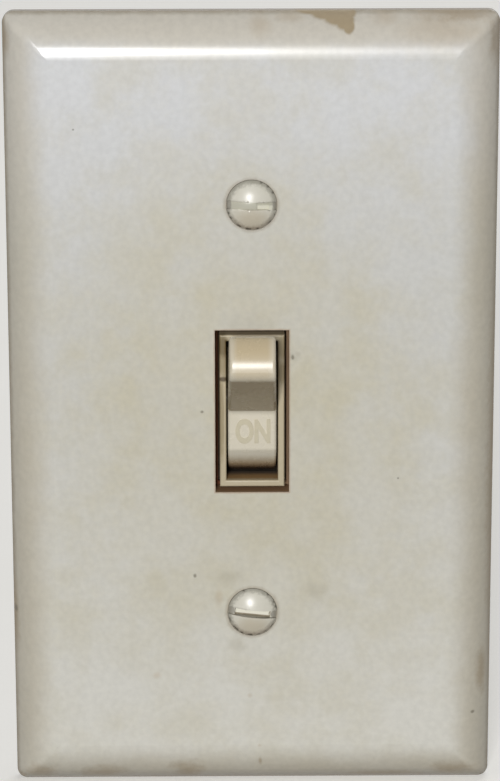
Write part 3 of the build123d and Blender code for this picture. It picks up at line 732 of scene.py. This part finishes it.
def zinc_plate():
    """Steel with dull bright-zinc plating, under brown dust and painted shade where it shows behind the
    opening.
    """
    material, tree, place = new_material("zinc_plated_steel")
    shades = ("#C3C5C7", "#A3A6A9")
    colour, gloss = clouded_skin(tree, place, 2.4, shades, (0.32, 0.48), detail=6, grain=0.65)[1:]
    stretch = add(tree, "ShaderNodeMapping", {"Vector": place, "Scale": (1, 1, 0.06)}).outputs[0]
    rolled = add(
        tree, "ShaderNodeTexNoise", {"Vector": stretch, "Scale": per_mm(0.35), "Detail": 3}
    ).outputs["Fac"]
    edge = ragged_edge(tree, place, size=1.5)
    dusty = within_frame(tree, place, edge, half_w=6.1, half_h=12.9, soft=0.2, waver=0.5)
    axes = add(tree, "ShaderNodeSeparateXYZ", {0: place}).outputs
    front = add(
        tree,
        "ShaderNodeMapRange",
        {"Value": axes["Y"], "From Min": -0.4 * MM, "From Max": -0.1 * MM, "To Min": 1.0, "To Max": 0.0},
    ).outputs["Result"]
    grime = add(tree, "ShaderNodeMath", {0: dusty, 1: front}, operation="MULTIPLY").outputs[0]
    # The dust is darker on the left, partly painted shade away from the light, and paler on the right.
    rightward = add(
        tree, "ShaderNodeMapRange", {"Value": axes["X"], "From Min": -5 * MM, "From Max": 5 * MM}
    ).outputs["Result"]
    dust_and_shade = add(
        tree, "ShaderNodeMix", {0: rightward, 6: linear("#7A4E38"), 7: linear("#9C8066")}, data_type="RGBA"
    ).outputs[2]
    colour = add(tree, "ShaderNodeMix", {0: grime, 6: colour, 7: dust_and_shade}, data_type="RGBA").outputs[2]
    bare = add(tree, "ShaderNodeMath", {0: 1.0, 1: grime}, operation="SUBTRACT").outputs[0]
    gloss = add(tree, "ShaderNodeMath", {0: grime, 1: 0.5, 2: gloss}, operation="MULTIPLY_ADD").outputs[0]
    surface = {"Base Color": colour, "Roughness": gloss, "Metallic": bare, "Specular IOR Level": 0.1}
    finish_material(tree, surface, rolled, height=0.008, strength=0.4)
    return material


def moulding(name, pale, dark, rough, size, relief):
    """A moulded or pressed part: two close shades in soft clouds, with a satin, slightly uneven skin."""
    material, tree, place = new_material(name)
    limits = (rough - 0.05, rough + 0.07)
    clouds, colour, gloss = clouded_skin(tree, place, size, (pale, dark), limits)
    finish_material(tree, {"Base Color": colour, "Roughness": gloss, "IOR": 1.5}, clouds, relief, 0.6)
    return material


def bare_metal(name, bright, dull, rough, size):
    """A drawn, rolled or plated metal: fine tonal variation, and a skin that blurs what it reflects."""
    material, tree, place = new_material(name)
    limits = (rough - 0.06, rough + 0.1)
    clouds, colour, gloss = clouded_skin(tree, place, size, (bright, dull), limits, detail=6, grain=0.65)
    finish_material(
        tree, {"Base Color": colour, "Roughness": gloss, "Metallic": 1.0}, clouds, height=0.01, strength=0.3
    )
    return material


def deselect():
    """Leaves no object selected."""
    bpy.ops.object.select_all(action="DESELECT")


def take(obj):
    """Makes one object the only selected and active one."""
    deselect()
    obj.select_set(True)
    bpy.context.view_layer.objects.active = obj


def join_to(target, piece):
    """Joins a piece to another object, in the other's finish."""
    piece.data.materials.clear()
    piece.data.materials.append(target.data.materials[0])
    take(target)
    piece.select_set(True)
    bpy.ops.object.join()


def cut_off(point, outward):
    """In edit mode, cuts off all that lies outward of a point, given in mm, and closes the mesh there."""
    bpy.ops.mesh.select_all(action="SELECT")
    bpy.ops.mesh.bisect(
        plane_co=[c * MM for c in point], plane_no=outward, use_fill=True, clear_outer=True, threshold=1e-7
    )


def relief_word(name, word, turn):
    """Letters moulded proud of the lever's facet, narrow and softened by wear."""
    deselect()
    bpy.ops.object.text_add()
    letters = bpy.context.object
    letters.name = name
    letters.data.body = word
    letters.data.align_x = "CENTER"
    letters.data.align_y = "CENTER"
    letters.data.size = 4.7 * MM
    letters.data.offset = 0.14 * MM
    letters.data.extrude = 0.08 * MM
    letters.data.bevel_depth = 0.05 * MM
    letters.data.bevel_resolution = 2
    take(letters)
    bpy.ops.object.convert(target="MESH")
    letters = bpy.context.object
    word_w = 5.0
    narrow = Matrix.Diagonal((word_w * MM / letters.dimensions.x, 1, 1, 1))
    upright = Matrix.Rotation(math.radians(90), 4, "X")
    # The word stands a little right of the lever's middle, with its back under the facet.
    middle = Vector((0.15, FACET_Y + 0.03, FACET_Z if turn == 0 else -FACET_Z))
    stand = Matrix.Translation(middle * MM)
    pivot = Matrix.Translation((0, PIVOT_Y * MM, 0))
    swing = pivot @ Matrix.Rotation(turn, 4, "X") @ pivot.inverted()
    letters.data.transform(swing @ stand @ upright @ narrow)
    letters.matrix_world = Matrix.Identity(4)
    return letters


def thread(start_y, end_y):
    """A machine-screw thread along +Y: one V turned round its core, cut square at both ends."""
    core = THREAD_R - 0.6 * THREAD_PITCH
    # The V over one turn, by its radius in mm and its way along in pitches.
    outline = ((core, 0), (THREAD_R, 0.36), (THREAD_R, 0.5), (core, 0.86), (core, 1.0))
    deselect()
    bpy.ops.mesh.primitive_plane_add(size=MM)
    shank = bpy.context.object
    bpy.ops.object.mode_set(mode="EDIT")
    bpy.ops.mesh.select_all(action="SELECT")
    bpy.ops.mesh.merge(type="CENTER")
    bpy.ops.transform.translate(value=(core * MM, (start_y - THREAD_PITCH) * MM, 0))
    for (from_r, from_t), (to_r, to_t) in zip(outline, outline[1:]):
        move = ((to_r - from_r) * MM, (to_t - from_t) * THREAD_PITCH * MM, 0)
        bpy.ops.mesh.extrude_region_move(TRANSFORM_OT_translate={"value": move})
    bpy.ops.object.mode_set(mode="OBJECT")
    spiral = shank.modifiers.new("thread", "SCREW")
    spiral.axis = "Y"
    spiral.angle = math.tau
    spiral.screw_offset = THREAD_PITCH * MM
    # Some turns too many are made, because both ends are cut off below.
    spiral.iterations = int((end_y - start_y) / THREAD_PITCH) + 3
    spiral.steps = 24
    spiral.render_steps = 24
    take(shank)
    bpy.ops.object.modifier_apply(modifier="thread")
    bpy.ops.object.mode_set(mode="EDIT")
    bpy.ops.mesh.select_all(action="SELECT")
    bpy.ops.mesh.remove_doubles(threshold=0.002 * MM)
    cut_off((0, start_y, 0), (0, -1, 0))
    cut_off((0, end_y, 0), (0, 1, 0))
    bpy.ops.mesh.select_all(action="SELECT")
    bpy.ops.mesh.normals_make_consistent(inside=False)
    bpy.ops.object.mode_set(mode="OBJECT")
    return shank


def filling(runs, turn, screw_z):
    """The old paint and dirt in one slot, as lumps that follow the dome a little below it."""
    lumps = []
    for below_dome, left, right in runs:
        deselect()
        bpy.ops.mesh.primitive_uv_sphere_add(segments=128, ring_count=96, radius=DOME_R * MM)
        lump = bpy.context.object
        bpy.ops.object.mode_set(mode="EDIT")
        bpy.ops.mesh.select_all(action="SELECT")
        bpy.ops.transform.translate(value=(0, (FACE_Y - DOME_RISE + DOME_R + below_dome) * MM, 0))
        # The lump reaches a hair into the slot's walls and floor, so that no gap shows.
        half = SLOT_HALF + 0.01
        cuts = (
            ((0, 0, half), (0, 0, 1)),
            ((0, 0, -half), (0, 0, -1)),
            ((left, 0, 0), (-1, 0, 0)),
            ((right, 0, 0), (1, 0, 0)),
            ((0, SLOT_FLOOR_Y + 0.03, 0), (0, 1, 0)),
        )
        for point, outward in cuts:
            cut_off(point, outward)
        bpy.ops.mesh.select_all(action="SELECT")
        bpy.ops.mesh.normals_make_consistent(inside=False)
        bpy.ops.object.mode_set(mode="OBJECT")
        swing = Matrix.Rotation(math.radians(turn), 4, "Y")
        lump.data.transform(Matrix.Translation((0, 0, screw_z * MM)) @ swing)
        lumps.append(lump)
    return lumps


def threaded_screw(node_name, start_y, end_y, screw_z):
    """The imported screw's own head and neck, carried on by a real thread in place of its plain shank."""
    head = frame["nodes"][node_name].copy()
    head.data = head.data.copy()
    head.parent = None
    head.matrix_world = Matrix.Identity(4)
    bpy.context.collection.objects.link(head)
    take(head)
    bpy.ops.object.mode_set(mode="EDIT")
    bpy.ops.mesh.select_all(action="SELECT")
    bpy.ops.mesh.remove_doubles(threshold=0.001 * MM)
    # The head is cut a hair behind the thread's start, so that the two overlap.
    cut_off((0, start_y + 0.02, 0), (0, 1, 0))
    bpy.ops.object.mode_set(mode="OBJECT")
    shank = thread(start_y, end_y)
    shank.data.transform(Matrix.Translation((0, 0, screw_z * MM)))
    join_to(head, shank)
    head.name = "threaded_" + node_name
    bpy.ops.object.shade_smooth_by_angle(angle=math.radians(35))
    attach(head, "housing")
    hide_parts(node_name)
    return head


finishes = {
    "aged_urea_plate": aged_urea(),
    "painted_screw": worn_enamel(),
    "zinc_steel": zinc_plate(),
    # Vulcanised fibre is hard red-brown card, quite matt.
    "fibre": moulding("vulcanised_fibre", "#7E5F46", "#64492F", rough=0.7, size=0.8, relief=0.03),
    "ivory_thermoset": soiled_cover(),
    # Phenolic moulds smooth and nearly black-brown, with a dull shine.
    "dark_thermoset": moulding("brown_phenolic", "#4B3E34", "#39302A", rough=0.42, size=2.0, relief=0.03),
    "ivory_lever": handled_lever(),
    # Drawn music wire is clean, grey and bright.
    "spring_steel": bare_metal("music_wire", "#B3B4B8", "#8C8E92", rough=0.25, size=0.6),
    # Moulded nylon is off-white and waxy.
    "nylon": moulding("nylon_moulding", "#E1DED4", "#D6D2C6", rough=0.4, size=1.2, relief=0.01),
    # Old rolled brass is dull yellow, with no clear reflections.
    "brass": bare_metal("rolled_brass", "#B3955A", "#8E7440", rough=0.4, size=2.0),
    # Silver contacts are the whitest metal in the switch.
    "contact_silver": bare_metal("silver_contact_alloy", "#DADAD6", "#BDBDB8", rough=0.25, size=0.5),
    # Green dye over zinc marks the ground screw.
    "green_screw": bare_metal("green_dyed_zinc", "#4C9A64", "#33774A", rough=0.35, size=1.0),
}
letter_finish = raised_letter_urea()
for node in frame["nodes"].values():
    for material_slot in node.material_slots:
        material_slot.material = finishes[material_slot.material.name]

# The top screw's slot was painted over, nearly flush on its left. The bottom one has dirt at its ends.
for end, side, runs, turn in (
    ("top", 1, TOP_FILLINGS, TOP_SLOT_TURN),
    ("bottom", -1, BOTTOM_FILLINGS, BOTTOM_SLOT_TURN),
):
    plate_screw = threaded_screw(f"plate_screw_{end}", *PLATE_THREAD, side * PLATE_SCREW_Z)
    for lump in filling(runs, turn, side * PLATE_SCREW_Z):
        join_to(plate_screw, lump)
    bpy.ops.object.shade_smooth_by_angle(angle=math.radians(35))
    box_screw = threaded_screw(f"box_screw_{end}", *BOX_THREAD, side * BOX_SCREW_Z)

for name, word, turn in (("letters_on", "ON", 0), ("letters_off", "OFF", -THROW)):
    letters = relief_word(name, word, turn)
    letters.data.materials.clear()
    letters.data.materials.append(letter_finish)
    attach(letters, "toggle")


def place_camera():
    """The camera stands where the photograph was taken from: square on, half a metre off, a little high."""
    azimuth = math.radians(-0.452)
    elevation = math.radians(14.6)
    roll = math.radians(-0.12)
    distance = 473.967 * MM
    target = Vector((-0.255, 0, 1.694)) * MM
    flat = Vector((math.sin(azimuth), -math.cos(azimuth), 0))
    back = flat * math.cos(elevation) + Vector((0, 0, math.sin(elevation)))
    level = Vector((math.cos(azimuth), math.sin(azimuth), 0))
    rise = back.cross(level)
    right = math.cos(roll) * level + math.sin(roll) * rise
    up = math.cos(roll) * rise - math.sin(roll) * level
    turn = Matrix((right, up, back)).transposed().to_4x4()
    deselect()
    bpy.ops.object.camera_add()
    camera = bpy.context.object
    camera.matrix_world = Matrix.Translation(target + distance * back) @ turn
    camera.data.lens = 150.907
    camera.data.sensor_width = 36
    camera.data.clip_start = 0.01
    bpy.context.scene.camera = camera


def soft_lamp(name, azimuth, elevation, distance, size, power):
    """A white rectangular lamp aimed at the lever, placed by its direction from there. Sizes in metres."""
    turn = math.radians(azimuth)
    lift = math.radians(elevation)
    away = Vector((math.sin(turn) * math.cos(lift), -math.cos(turn) * math.cos(lift), math.sin(lift)))
    data = bpy.data.lights.new(name, "AREA")
    data.shape = "RECTANGLE"
    data.size, data.size_y = size
    data.energy = power
    data.color = linear("#FFFFFF")[:3]
    lamp = bpy.data.objects.new(name, data)
    lamp.location = away * distance
    lamp.rotation_euler = away.to_track_quat("Z", "Y").to_euler()
    lamp.visible_camera = False
    bpy.context.collection.objects.link(lamp)


def seen_by_eye(tree):
    """1 where a surface is looked at, directly or in gloss or glass, and 0 where it only throws light."""
    path = add(tree, "ShaderNodeLightPath").outputs
    looked_at = add(
        tree, "ShaderNodeMath", {0: path["Is Camera Ray"], 1: path["Is Glossy Ray"]}, operation="MAXIMUM"
    ).outputs[0]
    return add(
        tree, "ShaderNodeMath", {0: looked_at, 1: path["Is Transmission Ray"]}, operation="MAXIMUM"
    ).outputs[0]


def light_the_room():
    """The main light stands beside the camera. The room adds a little from all round."""
    soft_lamp("front_light", azimuth=-6.4, elevation=13.6, distance=2.0, size=(0.32, 0.5), power=29.8)
    soft_lamp("back_light", azimuth=160, elevation=50, distance=1.2, size=(0.8, 0.8), power=4.0)
    world = bpy.data.worlds.new("room")
    world.use_nodes = True
    tree = world.node_tree
    tree.nodes.clear()
    seen = seen_by_eye(tree)
    dim = add(tree, "ShaderNodeBackground", {"Color": linear("#FFFDFA"), "Strength": 0.13})
    pale = add(tree, "ShaderNodeBackground", {"Color": linear("#FFFDFA"), "Strength": 0.64})
    mix = add(tree, "ShaderNodeMixShader", {0: seen, 1: dim.outputs[0], 2: pale.outputs[0]})
    add(tree, "ShaderNodeOutputWorld", {"Surface": mix.outputs[0]})
    bpy.context.scene.world = world


def lay_floor():
    """A pale matt floor under the plate. It looks pale to the eye and throws little light back up."""
    deselect()
    bpy.ops.mesh.primitive_plane_add(size=6, location=(0, 0, FLOOR_Z * MM))
    floor = bpy.context.object
    floor.name = "floor"
    material, tree, place = new_material("painted_board")
    seen = seen_by_eye(tree)
    clouds = add(
        tree, "ShaderNodeTexNoise", {"Vector": place, "Scale": per_mm(60), "Detail": 3}
    ).outputs["Fac"]
    paint = add(
        tree, "ShaderNodeMix", {0: clouds, 6: linear("#E4E3DF"), 7: linear("#EAE9E6")}, data_type="RGBA"
    ).outputs[2]
    colour = add(
        tree, "ShaderNodeMix", {0: seen, 6: linear("#6E6B66"), 7: paint}, data_type="RGBA"
    ).outputs[2]
    glow = add(tree, "ShaderNodeMath", {0: seen, 1: 0.42}, operation="MULTIPLY").outputs[0]
    surface = {"Base Color": colour, "Roughness": 0.9, "Specular IOR Level": 0.1}
    surface |= {"Emission Color": paint, "Emission Strength": glow}
    finish_material(tree, surface)
    floor.data.materials.append(material)


place_camera()
light_the_room()
lay_floor()
bpy.context.scene.view_settings.view_transform = "Standard"
